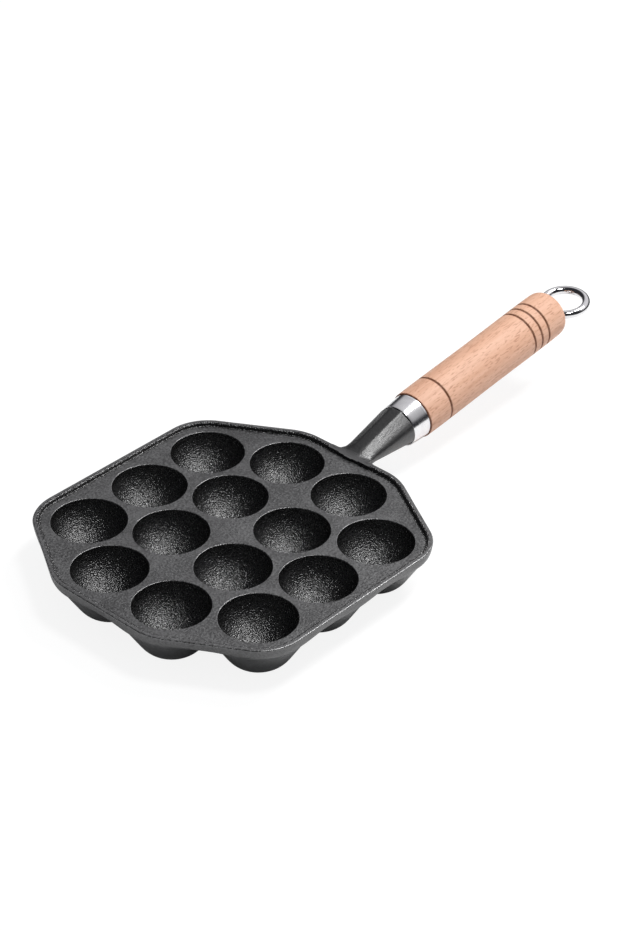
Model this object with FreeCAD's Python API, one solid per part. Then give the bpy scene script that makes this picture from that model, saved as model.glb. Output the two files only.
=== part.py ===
import FreeCAD, Part
import math
import os

from FreeCAD import Placement, Rotation, Vector

# Takoyaki pan: an eight-sided cast-iron plate with fourteen half-ball moulds and a neck,
# and a turned wooden grip held on the neck by a tie rod with a hanging ring.
# Lengths are in millimetres. While it is built, the plate's flat top lies in z = 0, the pan's
# middle is x = y = 0 and the handle points along +X. export() then moves each piece so that the
# origin is under the middle of the whole object, on the surface that the pan stands on.

# ---- Driving dimensions ----

# Moulds: two inner rows of four, and an outer row of three on each side
mould_radius = 20.0            # of the mouth, at the plate's top
mould_depth = 19.6
bump_radius = 26.0             # of a mould's slanting outside, where it meets the plate's underside
foot_radius = 13.0             # and where it meets the level that the pan stands on
foot_round = 10.0
flare_radius = 8.0             # of the hollow round where a mould's outside meets the plate
flare_sink = 0.15              # how far the flare would run into the plate before it lies flat
mould_pitch = 43.5             # along a row
inner_row_y = 22.1
outer_row_y = 60.4
inner_row_count = 4
outer_row_count = 3
foot_thickness = 5.4           # iron under a mould, down to the flat that the pan stands on

# Plate and lip
plate_half_length = 93.5
plate_half_width = 89.1
end_edge_half = 33.4           # half of the straight edge at each end, up to its corner
side_edge_half = 60.3          # half of the straight edge at each side, up to its corner
end_corner_radius = 32.0
side_corner_radius = 26.5
plate_thickness = 3.6
lip_height = 2.1               # above the plate's top
lip_width = 3.4
lip_round = 0.9
lip_foot_round = 1.0
wall_draft = 1.6               # how far the outer wall leans in, from the lip to the underside

# Handle axis
handle_rise = 6.9              # degrees above the plate
axis_ref_x = 100.0             # the axis passes through this point,
axis_ref_z = -1.5              # and lengths along it are counted from there

# Neck of the casting: a softened bar that starts flat under the plate and ends six-sided, with
# a ridge along its top. Heights are above the handle's axis and half-widths to each side of it.
neck_tail = -23.0              # where it starts, under the plate
neck_tail_half_width = 6.0
neck_tail_top = 3.6
neck_tail_bottom = -1.4
neck_root = -9.5               # at the lip, where its top is flat
neck_root_flat = 6.2
neck_root_half_width = 9.8
neck_root_top = 4.9
neck_root_shoulder = 1.9
neck_root_hip = -0.8
neck_root_bottom = -7.0
neck_waist = 2.2               # where the flat has run out into the ridge
neck_waist_half_width = 10.2
neck_waist_top = 7.6
neck_waist_shoulder = 2.5
neck_waist_hip = -0.9
neck_waist_bottom = -8.6
neck_end = 30.5
neck_end_half_width = 12.4
neck_end_top = 13.7
neck_end_shoulder = 5.8
neck_end_hip = -4.6
neck_end_bottom = -13.0
ridge_half_width = 1.0         # of the narrow flats that the rounding of the ridges takes up
neck_edge_round = 2.0
neck_end_edge_round = 3.5
neck_shoulder_length = 0.6     # of the turned-down edge in front of the ferrule
web_corner_radius = 4.0        # of the fillets, seen from above, from the neck to the plate
web_drop = 0.5                 # of their top, under the lip's

# Tapped hole and tie rod
rod_radius = 3.0
rod_engagement = 20.0          # length of the rod inside the neck
rod_running_clearance = 0.05
hole_spare_depth = 1.5
drill_point_angle = 31.0       # of the hole's conical bottom, up from flat
rod_past_ring = 1.6            # the rod laps this far past the middle of the ring's wire

# Ferrule and grip
ferrule_length = 11.8
ferrule_radius = 12.3          # in front
ferrule_back_radius = 13.25    # at the wood
ferrule_wall = 0.8
grip_end = 164.0               # along the axis
grip_front_radius = 13.8
grip_waist_radius = 13.9
grip_swell_radius = 14.15
grip_first_swell = 0.15        # places of the curve's three inner points, as shares of the length
grip_waist = 0.46
grip_swell = 0.8
grip_end_round = 4.5
grip_front_round = 0.5
grip_bore_radius = 3.5
tenon_gap = 0.3                # end play of the tenon in front of the neck
groove_places = (60.0, 133.8, 140.0, 146.2)
groove_radius = 0.8
groove_depth = 0.5

# Ring and washer
ring_radius = 12.4             # of the wire's centre line
wire_radius = 2.45
ring_centre = 178.0            # along the axis
ring_drop = 1.8                # the ring is welded this far under the rod's axis
ring_gap = 0.4                 # between the ring and the washer
washer_radius = 7.6
washer_thickness = 1.5
washer_bore_radius = 3.4
washer_pocket_gap = 0.4        # between the washer's rim and the pocket in the grip

# ---- Derived values ----

stand_height = mould_depth + foot_thickness
ferrule_end = neck_end + ferrule_length
washer_front = ring_centre - ring_radius - wire_radius - ring_gap - washer_thickness
pocket_radius = washer_radius + washer_pocket_gap
over = 5.0                     # how far cutting tools run past what they cut


# ---- Plate outline ----

def diagonal_edge():
    """Outward normal and distance from the middle of the four slanting edges."""
    run = plate_half_length - side_edge_half
    rise = plate_half_width - end_edge_half
    size = math.hypot(run, rise)
    normal = (rise / size, run / size)
    return normal, normal[0] * plate_half_length + normal[1] * end_edge_half


def outline_wire(inset, z):
    """The plate's rounded eight-sided outline, moved inwards by inset, at height z."""
    (nx, ny), distance = diagonal_edge()
    x_edge = plate_half_length - inset
    y_edge = plate_half_width - inset
    end_corner = (x_edge, (distance - inset - nx * x_edge) / ny)
    side_corner = ((distance - inset - ny * y_edge) / nx, y_edge)
    quarter = [(end_corner, end_corner_radius - inset), (side_corner, side_corner_radius - inset)]
    corners = []
    for sign_x, sign_y, step in ((1, 1, 1), (-1, 1, -1), (-1, -1, 1), (1, -1, -1)):
        for (x, y), radius in quarter[::step]:
            corners.append((Vector(sign_x * x, sign_y * y, z), radius))
    return rounded_loop(corners)


def corner_arc(before, corner, after, radius):
    """Start, middle and end of the arc that rounds a corner between two other points."""
    back = (before - corner).normalize()
    ahead = (after - corner).normalize()
    half_angle = back.getAngle(ahead) / 2
    middle_way = (back + ahead).normalize()
    reach = radius / math.tan(half_angle)
    centre = corner + middle_way * (radius / math.sin(half_angle))
    return corner + back * reach, centre - middle_way * radius, corner + ahead * reach


def rounded_loop(corners):
    """A closed wire of straight edges with an arc of its own radius at each corner."""
    points = [corner for corner, radius in corners]
    arcs = []
    for index, (corner, radius) in enumerate(corners):
        arcs.append(corner_arc(points[index - 1], corner, points[(index + 1) % len(points)], radius))
    edges = []
    for index, (start, middle, end) in enumerate(arcs):
        edges.append(Part.LineSegment(arcs[index - 1][2], start).toShape())
        edges.append(Part.Arc(start, middle, end).toShape())
    return Part.Wire(edges)


# ---- Casting ----

def mould_centres():
    """Middle of each mould's mouth: close-packed rows, the outer ones half a pitch along."""
    centres = []
    for row_y, count in ((inner_row_y, inner_row_count), (outer_row_y, outer_row_count)):
        for side in (-1, 1):
            for index in range(count):
                centres.append(Vector((index - (count - 1) / 2) * mould_pitch, side * row_y, 0))
    return centres


def edges_at(shape, z, outer):
    """The outline's edges at height z: those of the outer wall, or those of the recess."""
    found = []
    for edge in shape.Edges:
        box = edge.BoundBox
        level = abs(box.ZMin - z) < 1e-4 and abs(box.ZMax - z) < 1e-4
        if level and outside_of_lip_middle(edge) == outer:
            found.append(edge)
    return found


def outside_of_lip_middle(edge):
    """Whether an edge of the outline lies nearer to the outer wall than to the recess."""
    (nx, ny), distance = diagonal_edge()
    middle = edge.valueAt((edge.FirstParameter + edge.LastParameter) / 2)
    x, y = abs(middle.x), abs(middle.y)
    depth = min(plate_half_length - x, plate_half_width - y, distance - nx * x - ny * y)
    return depth < lip_width / 2


def plate_body():
    """Plate with its raised lip and leaning outer wall, before the moulds and the neck."""
    top = outline_wire(0, lip_height)
    bottom = outline_wire(wall_draft, -plate_thickness)
    body = Part.makeLoft([bottom, top], True, True)
    recess = Part.Face(outline_wire(lip_width, 0)).extrude(Vector(0, 0, lip_height + over))
    body = body.cut(recess)
    top_edges = edges_at(body, lip_height, True) + edges_at(body, lip_height, False)
    body = body.makeFillet(lip_round, top_edges)
    body = body.makeFillet(lip_foot_round, edges_at(body, 0, False))
    return body


def mould_bump():
    """Outside of one mould: slanting, flat underneath, with a flare into the plate's underside."""
    foot_middle = Vector(0, 0, -stand_height)
    foot_edge = Vector(foot_radius, 0, -stand_height)
    top = Vector(bump_radius, 0, flare_sink - plate_thickness)
    foot_arc = corner_arc(foot_middle, foot_edge, top, foot_round)
    flare = corner_arc(foot_edge, top, top + Vector(1, 0, 0), flare_radius)
    inside_plate = Vector(flare[2].x, 0, -plate_thickness / 2)
    profile = Part.Wire([
        Part.LineSegment(foot_middle, foot_arc[0]).toShape(),
        Part.Arc(*foot_arc).toShape(),
        Part.LineSegment(foot_arc[2], flare[0]).toShape(),
        Part.Arc(*flare).toShape(),
        Part.LineSegment(flare[2], inside_plate).toShape(),
        Part.LineSegment(inside_plate, Vector(0, 0, inside_plate.z)).toShape(),
        Part.LineSegment(Vector(0, 0, inside_plate.z), foot_middle).toShape(),
    ])
    return Part.Face(profile).revolve(Vector(), Vector(0, 0, 1), 360)


def under_plate():
    """The space straight under the plate, down to the level that the pan stands on."""
    floor = Part.Face(outline_wire(wall_draft, -stand_height))
    return floor.extrude(Vector(0, 0, stand_height - plate_thickness))


def moved(shape, offset):
    """A copy of a shape, moved by offset."""
    copy = shape.copy()
    copy.translate(offset)
    return copy


def mould_hollow():
    """Inside of one mould: a ball segment as wide and as deep as the mould."""
    ball_radius = (mould_radius ** 2 + mould_depth ** 2) / (2 * mould_depth)
    return Part.makeSphere(ball_radius, Vector(0, 0, ball_radius - mould_depth))


# ---- Handle axis and neck ----

def along_axis(length, drop=0.0):
    """The point at a length along the handle's axis, or straight under it by drop."""
    return axis_placement().multVec(Vector(length, 0, -drop))


def axis_placement():
    """Turns +X onto the rising handle axis, with the axis's own zero at the reference point."""
    return Placement(Vector(axis_ref_x, 0, axis_ref_z), Rotation(Vector(0, 1, 0), -handle_rise))


def turned(points):
    """A solid of revolution about X from its outline, given as (length, radius) from axis to axis."""
    corners = [Vector(length, radius, 0) for length, radius in points]
    outline = Part.makePolygon(corners + corners[:1])
    return Part.Face(outline).revolve(Vector(), Vector(1, 0, 0), 360)


def rod_hole():
    """Tapped hole in the neck's end, with the point that a drill leaves."""
    radius = rod_radius + rod_running_clearance
    bottom = neck_end - rod_engagement - hole_spare_depth
    drill_point = radius * math.tan(math.radians(drill_point_angle))
    mouth = neck_end + over
    return turned([(bottom - drill_point, 0), (bottom, radius), (mouth, radius), (mouth, 0)])


def neck_section(place_along, flat, top, half_width, shoulder, hip, bottom, rounding, inset=0.0):
    """Rounded eight-cornered section of the neck, symmetric about the handle's upright plane."""
    half = half_width - inset
    right = [(flat, top - inset), (half, shoulder), (half, hip), (ridge_half_width, bottom + inset)]
    both = right + [(-y, z) for y, z in reversed(right)]
    return rounded_loop([(Vector(place_along, y, z), rounding) for y, z in both])


def neck():
    """The neck as one run of straight flats between its sections, from the plate to the ferrule."""
    tail_middle = (neck_tail_top + neck_tail_bottom) / 2
    end = [ridge_half_width, neck_end_top, neck_end_half_width, neck_end_shoulder, neck_end_hip,
           neck_end_bottom, neck_end_edge_round]
    sections = [
        neck_section(neck_tail, neck_tail_half_width / 2, neck_tail_top, neck_tail_half_width,
                     tail_middle + neck_edge_round / 2, tail_middle - neck_edge_round / 2,
                     neck_tail_bottom, neck_edge_round / 4),
        neck_section(neck_root, neck_root_flat, neck_root_top, neck_root_half_width,
                     neck_root_shoulder, neck_root_hip, neck_root_bottom, neck_edge_round / 2),
        neck_section(neck_waist, ridge_half_width, neck_waist_top, neck_waist_half_width,
                     neck_waist_shoulder, neck_waist_hip, neck_waist_bottom, neck_edge_round),
        neck_section(neck_end - neck_shoulder_length, *end),
        neck_section(neck_end, *end, inset=neck_shoulder_length),
    ]
    bar = Part.makeLoft(sections, True, True)
    bar.Placement = axis_placement()
    return bar


def web_outline(edge_x, z):
    """Outline of the two fillets beside the neck, where the plate's end edge is at edge_x."""
    half = neck_waist_half_width
    foot_half = half + web_corner_radius
    start = plate_half_length - wall_draft - lip_width / 2
    bulge = web_corner_radius * (1 - math.sqrt(0.5))
    right = [Vector(edge_x, foot_half, z), Vector(edge_x + bulge, half + bulge, z),
             Vector(edge_x + web_corner_radius, half, z)]
    left = [Vector(point.x, -point.y, z) for point in reversed(right)]
    back = [Vector(start, -foot_half, z), Vector(start, foot_half, z)]
    return Part.Wire([
        Part.LineSegment(back[1], right[0]).toShape(),
        Part.Arc(*right).toShape(),
        Part.LineSegment(right[2], left[0]).toShape(),
        Part.Arc(*left).toShape(),
        Part.LineSegment(left[2], back[0]).toShape(),
        Part.LineSegment(*back).toShape(),
    ])


def neck_web():
    """Fillets between the neck's sides and the plate's end edge, leaning in as the wall does."""
    top = lip_height - web_drop
    lean = wall_draft / (lip_height + plate_thickness)
    return Part.makeLoft([web_outline(plate_half_length - wall_draft, -plate_thickness),
                          web_outline(plate_half_length - lean * web_drop, top)], True, True)


def pan_casting():
    inside_lip = Part.Face(outline_wire(lip_width - lip_round, 0))
    recess = inside_lip.extrude(Vector(0, 0, lip_height + over))
    centres = mould_centres()
    bumps = [moved(mould_bump(), centre).common(under_plate()) for centre in centres]
    hollows = [moved(mould_hollow(), centre) for centre in centres]
    bore = rod_hole()
    bore.Placement = axis_placement()
    stub = neck().cut(recess)
    casting = plate_body().multiFuse(bumps + [stub, neck_web()])
    return casting.cut(Part.makeCompound(hollows)).cut(bore)


# ---- Handle ----

def on_axis(shape):
    """A piece that was built along X, moved onto the handle's axis."""
    shape.Placement = axis_placement()
    return shape


def ferrule():
    """Thin steel sleeve, a little wider at the wood, between the neck's shoulder and the grip."""
    front = ferrule_radius
    back = ferrule_back_radius
    sleeve = Part.makeCone(front, back, ferrule_length, Vector(neck_end, 0, 0), Vector(1, 0, 0))
    inside = Part.makeCone(front - ferrule_wall, back - ferrule_wall, ferrule_length,
                           Vector(neck_end, 0, 0), Vector(1, 0, 0))
    return on_axis(sleeve.cut(inside))


def grip_side():
    """Curve of the grip's side: a slight waist in front of its middle, and a slight swell."""
    length = grip_end - ferrule_end
    curve = Part.BSplineCurve()
    curve.interpolate([
        Vector(ferrule_end, grip_front_radius, 0),
        Vector(ferrule_end + grip_first_swell * length, (grip_front_radius + grip_swell_radius) / 2, 0),
        Vector(ferrule_end + grip_waist * length, grip_waist_radius, 0),
        Vector(ferrule_end + grip_swell * length, grip_swell_radius, 0),
        Vector(grip_end, grip_waist_radius, 0),
    ])
    return curve.toShape()


def wood_handle():
    """Turned grip: tenon for the ferrule, burned grooves, through bore and washer pocket."""
    tenon_start = neck_end + tenon_gap
    taper = (ferrule_back_radius - ferrule_radius) / ferrule_length
    tenon_radius = ferrule_radius - ferrule_wall + taper * tenon_gap
    side = grip_side()
    outline = Part.Wire([
        side,
        Part.LineSegment(Vector(grip_end, grip_waist_radius), Vector(grip_end, 0)).toShape(),
        Part.LineSegment(Vector(grip_end, 0), Vector(ferrule_end, 0)).toShape(),
        Part.LineSegment(Vector(ferrule_end, 0), Vector(ferrule_end, grip_front_radius)).toShape(),
    ])
    grip = Part.Face(outline).revolve(Vector(), Vector(1, 0, 0), 360)
    rims = [edge for edge in grip.Edges if edge.BoundBox.YLength > 1]
    front = [edge for edge in rims if edge.BoundBox.XMax < ferrule_end + 1e-6]
    back = [edge for edge in rims if edge.BoundBox.XMin > grip_end - 1e-6]
    grip = grip.makeFillet(grip_end_round, back[:1]).makeFillet(grip_front_round, front[:1])
    tenon = Part.makeCone(tenon_radius, ferrule_back_radius - ferrule_wall, ferrule_end - tenon_start,
                          Vector(tenon_start, 0, 0), Vector(1, 0, 0))
    grip = grip.fuse(tenon)
    for place_along in groove_places:
        outer = grip_swell_radius + groove_radius - groove_depth
        groove = Part.makeTorus(outer, groove_radius, Vector(place_along, 0, 0), Vector(1, 0, 0))
        grip = grip.cut(groove)
    bore = Part.makeCylinder(grip_bore_radius, grip_end, Vector(), Vector(1, 0, 0))
    pocket = Part.makeCylinder(pocket_radius, over + grip_end, Vector(washer_front, 0, 0), Vector(1, 0, 0))
    return on_axis(grip.cut(bore).cut(pocket))


def ring_shape():
    """Ring of round wire; its plane holds the direction of the handle and lies across the pan."""
    return Part.makeTorus(ring_radius, wire_radius, Vector(ring_centre, 0, -ring_drop), Vector(0, 0, 1))


def hanging_ring():
    return on_axis(ring_shape())


def tie_rod():
    """Rod from the neck's hole to the ring, with its end cut to the ring's wire and welded there."""
    start = neck_end - rod_engagement
    length = ring_centre - ring_radius + rod_past_ring - start
    rod = Part.makeCylinder(rod_radius, length, Vector(start, 0, 0), Vector(1, 0, 0))
    return on_axis(rod.cut(ring_shape()))


def end_washer():
    """Flat washer in the grip's pocket, between the wood and the ring."""
    disc = Part.makeCylinder(washer_radius, washer_thickness, Vector(washer_front, 0, 0), Vector(1, 0, 0))
    hole = Part.makeCylinder(washer_bore_radius, washer_thickness + 2 * over,
                             Vector(washer_front - over, 0, 0), Vector(1, 0, 0))
    return on_axis(disc.cut(hole))


# ---- Placing and export ----

def origin_shift():
    """From the pan's middle on the plate to the middle of the whole object, on its feet."""
    ring_middle = along_axis(ring_centre, ring_drop)
    rise = math.radians(handle_rise)
    tip = ring_middle.x + ring_radius * math.cos(rise) + wire_radius
    return Vector((plate_half_length - tip) / 2, 0, stand_height)


def export(name, shape):
    shape.translate(origin_shift())
    shape.exportStep(f"parts/{name}.step")


os.makedirs("parts", exist_ok=True)
for make in (pan_casting, ferrule, wood_handle, tie_rod, hanging_ring, end_washer):
    export(make.__name__, make())
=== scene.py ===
import math

import bpy
import numpy as np
from mathutils import Matrix, Vector
from mathutils.geometry import delaunay_2d_cdt


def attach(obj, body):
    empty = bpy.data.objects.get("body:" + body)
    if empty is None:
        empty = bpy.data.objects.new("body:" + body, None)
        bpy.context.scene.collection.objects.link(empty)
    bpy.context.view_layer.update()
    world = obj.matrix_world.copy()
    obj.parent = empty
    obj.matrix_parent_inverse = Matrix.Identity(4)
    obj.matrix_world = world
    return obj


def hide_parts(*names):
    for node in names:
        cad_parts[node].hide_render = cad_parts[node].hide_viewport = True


# Takoyaki pan: a black cast-iron pan with fourteen half-ball moulds and a turned wooden handle
# with a steel ferrule and a hanging ring. Shapes are in millimetres, from the middle of the
# plate's flat top, with the handle along +X and Z up. They are moved to the frame's origin and
# scaled to metres when their meshes are made. Where a number is in metres, a comment says so.

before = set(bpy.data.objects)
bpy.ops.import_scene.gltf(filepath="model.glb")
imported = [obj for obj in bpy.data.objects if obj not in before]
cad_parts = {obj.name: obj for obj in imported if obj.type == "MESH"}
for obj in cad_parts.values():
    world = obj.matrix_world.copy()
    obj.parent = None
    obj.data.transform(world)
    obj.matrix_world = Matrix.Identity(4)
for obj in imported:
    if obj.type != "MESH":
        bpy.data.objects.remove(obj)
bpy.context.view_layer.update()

MM = 0.001

# ---- Sizes ----

MOULD_RADIUS = 20.0
MOULD_DEPTH = 19.6
MOUTH_ROUND = 0.35
BUMP_RADIUS = 26.0                         # of a mould's slanting outside, at the plate's underside
FOOT_RADIUS = 13.0                         # and where it meets the level that the pan stands on
FOOT_THICKNESS = 5.4
MOULD_PITCH = 43.5
ROWS = ((-60.4, 3), (-22.1, 4), (22.1, 4), (60.4, 3))     # y, count

HALF_LENGTH = 93.5
HALF_WIDTH = 89.1
END_EDGE_HALF = 33.4
SIDE_EDGE_HALF = 60.3
END_CORNER_RADIUS = 32.0
SIDE_CORNER_RADIUS = 26.5
PLATE_THICKNESS = 3.6
LIP_HEIGHT = 2.1
LIP_WIDTH = 3.4
LIP_ROUND = 1.0
LIP_FOOT_ROUND = 0.5
WALL_DRAFT = 1.6

HANDLE_RISE = math.radians(6.9)
AXIS_X = 100.0
AXIS_Z = -1.5
NECK_END = 30.5
FERRULE_END = 42.3
GRIP_END = 164.0
RING_RADIUS = 12.4
WIRE_RADIUS = 2.45
RING_CENTRE = 178.0
RING_DROP = 1.8

STAND_HEIGHT = MOULD_DEPTH + FOOT_THICKNESS
AXIS_DIR = np.array([math.cos(HANDLE_RISE), 0.0, math.sin(HANDLE_RISE)])
AXIS_UP = np.array([-math.sin(HANDLE_RISE), 0.0, math.cos(HANDLE_RISE)])
AXIS_START = np.array([AXIS_X, 0.0, AXIS_Z])
TIP_X = (AXIS_X + (RING_CENTRE + RING_RADIUS) * math.cos(HANDLE_RISE)
         + RING_DROP * math.sin(HANDLE_RISE) + WIRE_RADIUS)
ORIGIN = np.array([(HALF_LENGTH - TIP_X) / 2, 0.0, STAND_HEIGHT])

# Where the casting's parts meet. A blend is the width over which a crease is filled or rounded.
LIP_EDGE_BLEND = 1.5
UNDERSIDE_EDGE_BLEND = 2.0
FOOT_BLEND = 8.0
BUMP_BLEND = 10.0
BUMP_SIDE_BLEND = 4.0
BUMP_TOP_BLEND = 3.0
PLATE_BLEND = 6.0
BUMP_MIDDLE_ROUND = 1.0
BUMP_INSET = 2.1                           # how far inside the lip's outline the bumps stay
BUMP_TOP_DROP = 2.2                        # and how far under the plate's top

# Sections of the neck along the axis: top, half-width, shoulder, hip and bottom, from the axis,
# and the blend along the edges of its sides
NECK_PLACES = (-23.0, -9.5, 2.2, 30.5)
NECK_TOPS = (3.6, 5.4, 8.1, 14.3)
NECK_HALF_WIDTHS = (6.0, 9.6, 10.0, 12.5)
NECK_SHOULDERS = (1.4, 2.1, 2.6, 5.6)
NECK_HIPS = (0.4, -0.8, -1.0, -4.6)
NECK_BOTTOMS = (-1.4, -7.4, -9.0, -13.4)
NECK_SIDE_BLENDS = (0.8, 1.5, 3.5, 5.5)
NECK_RIDGE_BLEND = 6.0
NECK_KEEL_BLEND = 2.5
NECK_END_BLEND = 1.2
TONGUE_X = 91.5                            # where the flat at the neck's root leaves the lip
TONGUE_Z = 1.9
TONGUE_SLOPE = math.radians(18.0)
TONGUE_BLEND = 0.7
NECK_LEVELS = (-4.0, 7.0)                  # the neck's blend with the plate is wider at the lower
NECK_BLENDS = (1.2, 0.7)
NECK_FIELD_REACH = 12.0                    # further away than this, the neck doesn't count
WEB_RADIUS = 4.0                           # of the fillets, seen from above, beside the neck
WEB_SINK = 0.2                             # how far they start inside the neck's side,
WEB_DEPTH = 3.0                            # and inside the plate's edge
WEB_TOP = 1.7                              # their height at the plate's edge, and how steeply they
WEB_FALL = 0.32                            # fall away from it
WEB_BLEND = 1.2
WEB_NECK_BLEND = 2.4


def mould_centres():
    return [((index - (count - 1) / 2) * MOULD_PITCH, y)
            for y, count in ROWS for index in range(count)]


# ---- Distance fields of the casting, for arrays of points of shape (n, 3) ----

def smooth_min(a, b, blend):
    """The lower of two fields, with the crease between them filled over a width of blend."""
    share = np.maximum(blend - np.abs(a - b), 0) / blend
    return np.minimum(a, b) - share * share * share * blend / 6


def smooth_max(a, b, blend):
    return -smooth_min(-a, -b, blend)


def corner_distance(x, y, centre, radius, normal_a, normal_b, straight):
    """Distance to an outline whose corner between two edges is rounded about a centre."""
    vx, vy = x - centre[0], y - centre[1]
    inside = (normal_a[0] * vy - normal_a[1] * vx > 0) & (vx * normal_b[1] - vy * normal_b[0] > 0)
    return np.where(inside, np.hypot(vx, vy) - radius, straight)


def slant_edge():
    """Normal of the outline's slanting edge, and its distance from the middle."""
    run, rise = HALF_LENGTH - SIDE_EDGE_HALF, HALF_WIDTH - END_EDGE_HALF
    size = math.hypot(run, rise)
    normal = (rise / size, run / size)
    return normal, normal[0] * HALF_LENGTH + normal[1] * END_EDGE_HALF


def corner_centres():
    """Centres of the outline's two rounded corners in the quarter where x and y are positive."""
    (nx, ny), distance = slant_edge()
    end_x = HALF_LENGTH - END_CORNER_RADIUS
    end_y = (distance - END_CORNER_RADIUS - nx * end_x) / ny
    side_y = HALF_WIDTH - SIDE_CORNER_RADIUS
    side_x = (distance - SIDE_CORNER_RADIUS - ny * side_y) / nx
    return (end_x, end_y), (side_x, side_y)


def outline_distance(x, y):
    """Distance in plan to the rounded eight-sided outline of the lip, negative inside."""
    x, y = np.abs(x), np.abs(y)
    normal, distance = slant_edge()
    end_centre, side_centre = corner_centres()
    straight = np.maximum(np.maximum(x - HALF_LENGTH, y - HALF_WIDTH),
                          normal[0] * x + normal[1] * y - distance)
    field = corner_distance(x, y, end_centre, END_CORNER_RADIUS, (1, 0), normal, straight)
    return corner_distance(x, y, side_centre, SIDE_CORNER_RADIUS, normal, (0, 1), field)


def plate_field(p):
    """Solid plate up to the lip's top: the recess and the moulds are cut by the mesh itself."""
    x, y, z = p.T
    lean = WALL_DRAFT / (LIP_HEIGHT + PLATE_THICKNESS)
    wall = (outline_distance(x, y) + lean * (LIP_HEIGHT - z)) / math.hypot(1, lean)
    slab = smooth_max(wall, z - LIP_HEIGHT, LIP_EDGE_BLEND)
    return smooth_max(slab, -PLATE_THICKNESS - z, UNDERSIDE_EDGE_BLEND)


def bump_field(p):
    """Slanting outsides of the moulds with flat feet, each row's three nearest at a time."""
    x, y, z = p.T
    run, fall = BUMP_RADIUS - FOOT_RADIUS, STAND_HEIGHT - PLATE_THICKNESS
    slope_down, slope_out = fall / math.hypot(run, fall), run / math.hypot(run, fall)
    result = np.full(len(p), 1e3)
    for row_y, count in ROWS:
        first = -(count - 1) / 2 * MOULD_PITCH
        index = np.clip(np.round((x - first) / MOULD_PITCH), 0, count - 1)
        for neighbour in (0, -1, 1):
            place = np.clip(index + neighbour, 0, count - 1)
            dx = x - (first + place * MOULD_PITCH)
            out = np.sqrt(dx ** 2 + (y - row_y) ** 2 + BUMP_MIDDLE_ROUND ** 2) - BUMP_MIDDLE_ROUND
            side = (out - FOOT_RADIUS) * slope_down - (z + STAND_HEIGHT) * slope_out
            bump = smooth_max(side, -STAND_HEIGHT - z, FOOT_BLEND)
            if neighbour == 0:
                nearest = bump
            else:
                other = place != index
                nearest = np.where(other, smooth_min(nearest, bump, BUMP_BLEND), nearest)
        result = smooth_min(result, nearest, BUMP_BLEND)
    return result


def axis_coordinates(p):
    """Length along the handle's axis, height over it and sideways place of each point."""
    q = p - AXIS_START
    return q @ AXIS_DIR, q @ AXIS_UP, q[:, 1]


def slanted(sign, height, half, low_height, high_height, low_half, high_half):
    """Signed distance to the line through two places of a section that change along the neck."""
    run, rise = high_half - low_half, high_height - low_height
    size = np.hypot(run, rise)
    return ((height - low_height) * run - (half - low_half) * rise) / size * sign


def neck_field(p):
    along, height, side = axis_coordinates(p)
    top, wide, shoulder, hip, bottom, softness = (
        np.interp(along, NECK_PLACES, values)
        for values in (NECK_TOPS, NECK_HALF_WIDTHS, NECK_SHOULDERS, NECK_HIPS, NECK_BOTTOMS,
                       NECK_SIDE_BLENDS))
    zero = np.zeros_like(along)
    left_roof = slanted(1, height, side, top, shoulder, zero, wide)
    right_roof = slanted(1, height, -side, top, shoulder, zero, wide)
    roofs = smooth_max(left_roof, right_roof, NECK_RIDGE_BLEND)
    left_keel = slanted(-1, height, side, bottom, hip, zero, wide)
    right_keel = slanted(-1, height, -side, bottom, hip, zero, wide)
    keels = smooth_max(left_keel, right_keel, NECK_KEEL_BLEND)
    field = smooth_max(roofs, np.abs(side) - wide, softness)
    field = smooth_max(field, keels, softness)
    x, z = p[:, 0], p[:, 2]
    tongue = (z - TONGUE_Z) * math.cos(TONGUE_SLOPE) - (x - TONGUE_X) * math.sin(TONGUE_SLOPE)
    field = smooth_max(field, tongue, TONGUE_BLEND)
    field = smooth_max(field, along - NECK_END, NECK_END_BLEND)
    return np.maximum(field, NECK_PLACES[0] - along)


def web_field(p):
    """Fillets between the neck's sides and the plate's end edge."""
    x, y, z = p.T
    half = np.abs(y)
    edge = HALF_LENGTH - (LIP_HEIGHT - z) * WALL_DRAFT / (LIP_HEIGHT + PLATE_THICKNESS)
    side = NECK_HALF_WIDTHS[2] - WEB_SINK
    centre_x, centre_y = edge + WEB_RADIUS, side + WEB_RADIUS
    block = np.maximum(np.maximum(x - centre_x, half - centre_y), edge - WEB_DEPTH - x)
    flat = np.maximum(block, WEB_RADIUS - np.hypot(x - centre_x, half - centre_y))
    top = z - WEB_TOP + WEB_FALL * np.maximum(x - edge, 0)
    return smooth_max(smooth_max(flat, top, WEB_BLEND), -PLATE_THICKNESS - z, WEB_BLEND)


def casting_field(p, with_neck=True):
    inset = outline_distance(p[:, 0], p[:, 1]) + BUMP_INSET
    bumps = smooth_max(bump_field(p), inset, BUMP_SIDE_BLEND)
    bumps = smooth_max(bumps, p[:, 2] + BUMP_TOP_DROP, BUMP_TOP_BLEND)
    field = smooth_min(plate_field(p), bumps, PLATE_BLEND)
    if with_neck:
        blend = np.interp(p[:, 2], NECK_LEVELS, NECK_BLENDS)
        neck = smooth_min(neck_field(p), web_field(p), WEB_NECK_BLEND)
        field = np.where(neck < NECK_FIELD_REACH, smooth_min(field, neck, blend), field)
    return field


# ---- Surface tools ----

SETTLE_LIMIT = 1.0                         # the furthest that settling moves a point in a round
LEAST_SLOPE = 0.05                         # squared, where a field is nearly flat
MARCH_STEPS = 40
MARCH_SHARE = 0.8                          # of the field's value that a march goes in each step,
MARCH_LIMIT = 6.0                          # and the highest value that it counts
ON_SURFACE = 0.05


def gradient(field, p, step=0.02):
    result = np.empty_like(p)
    for axis in range(3):
        offset = np.zeros(3)
        offset[axis] = step
        result[:, axis] = (field(p + offset) - field(p - offset)) / (2 * step)
    return result


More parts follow.
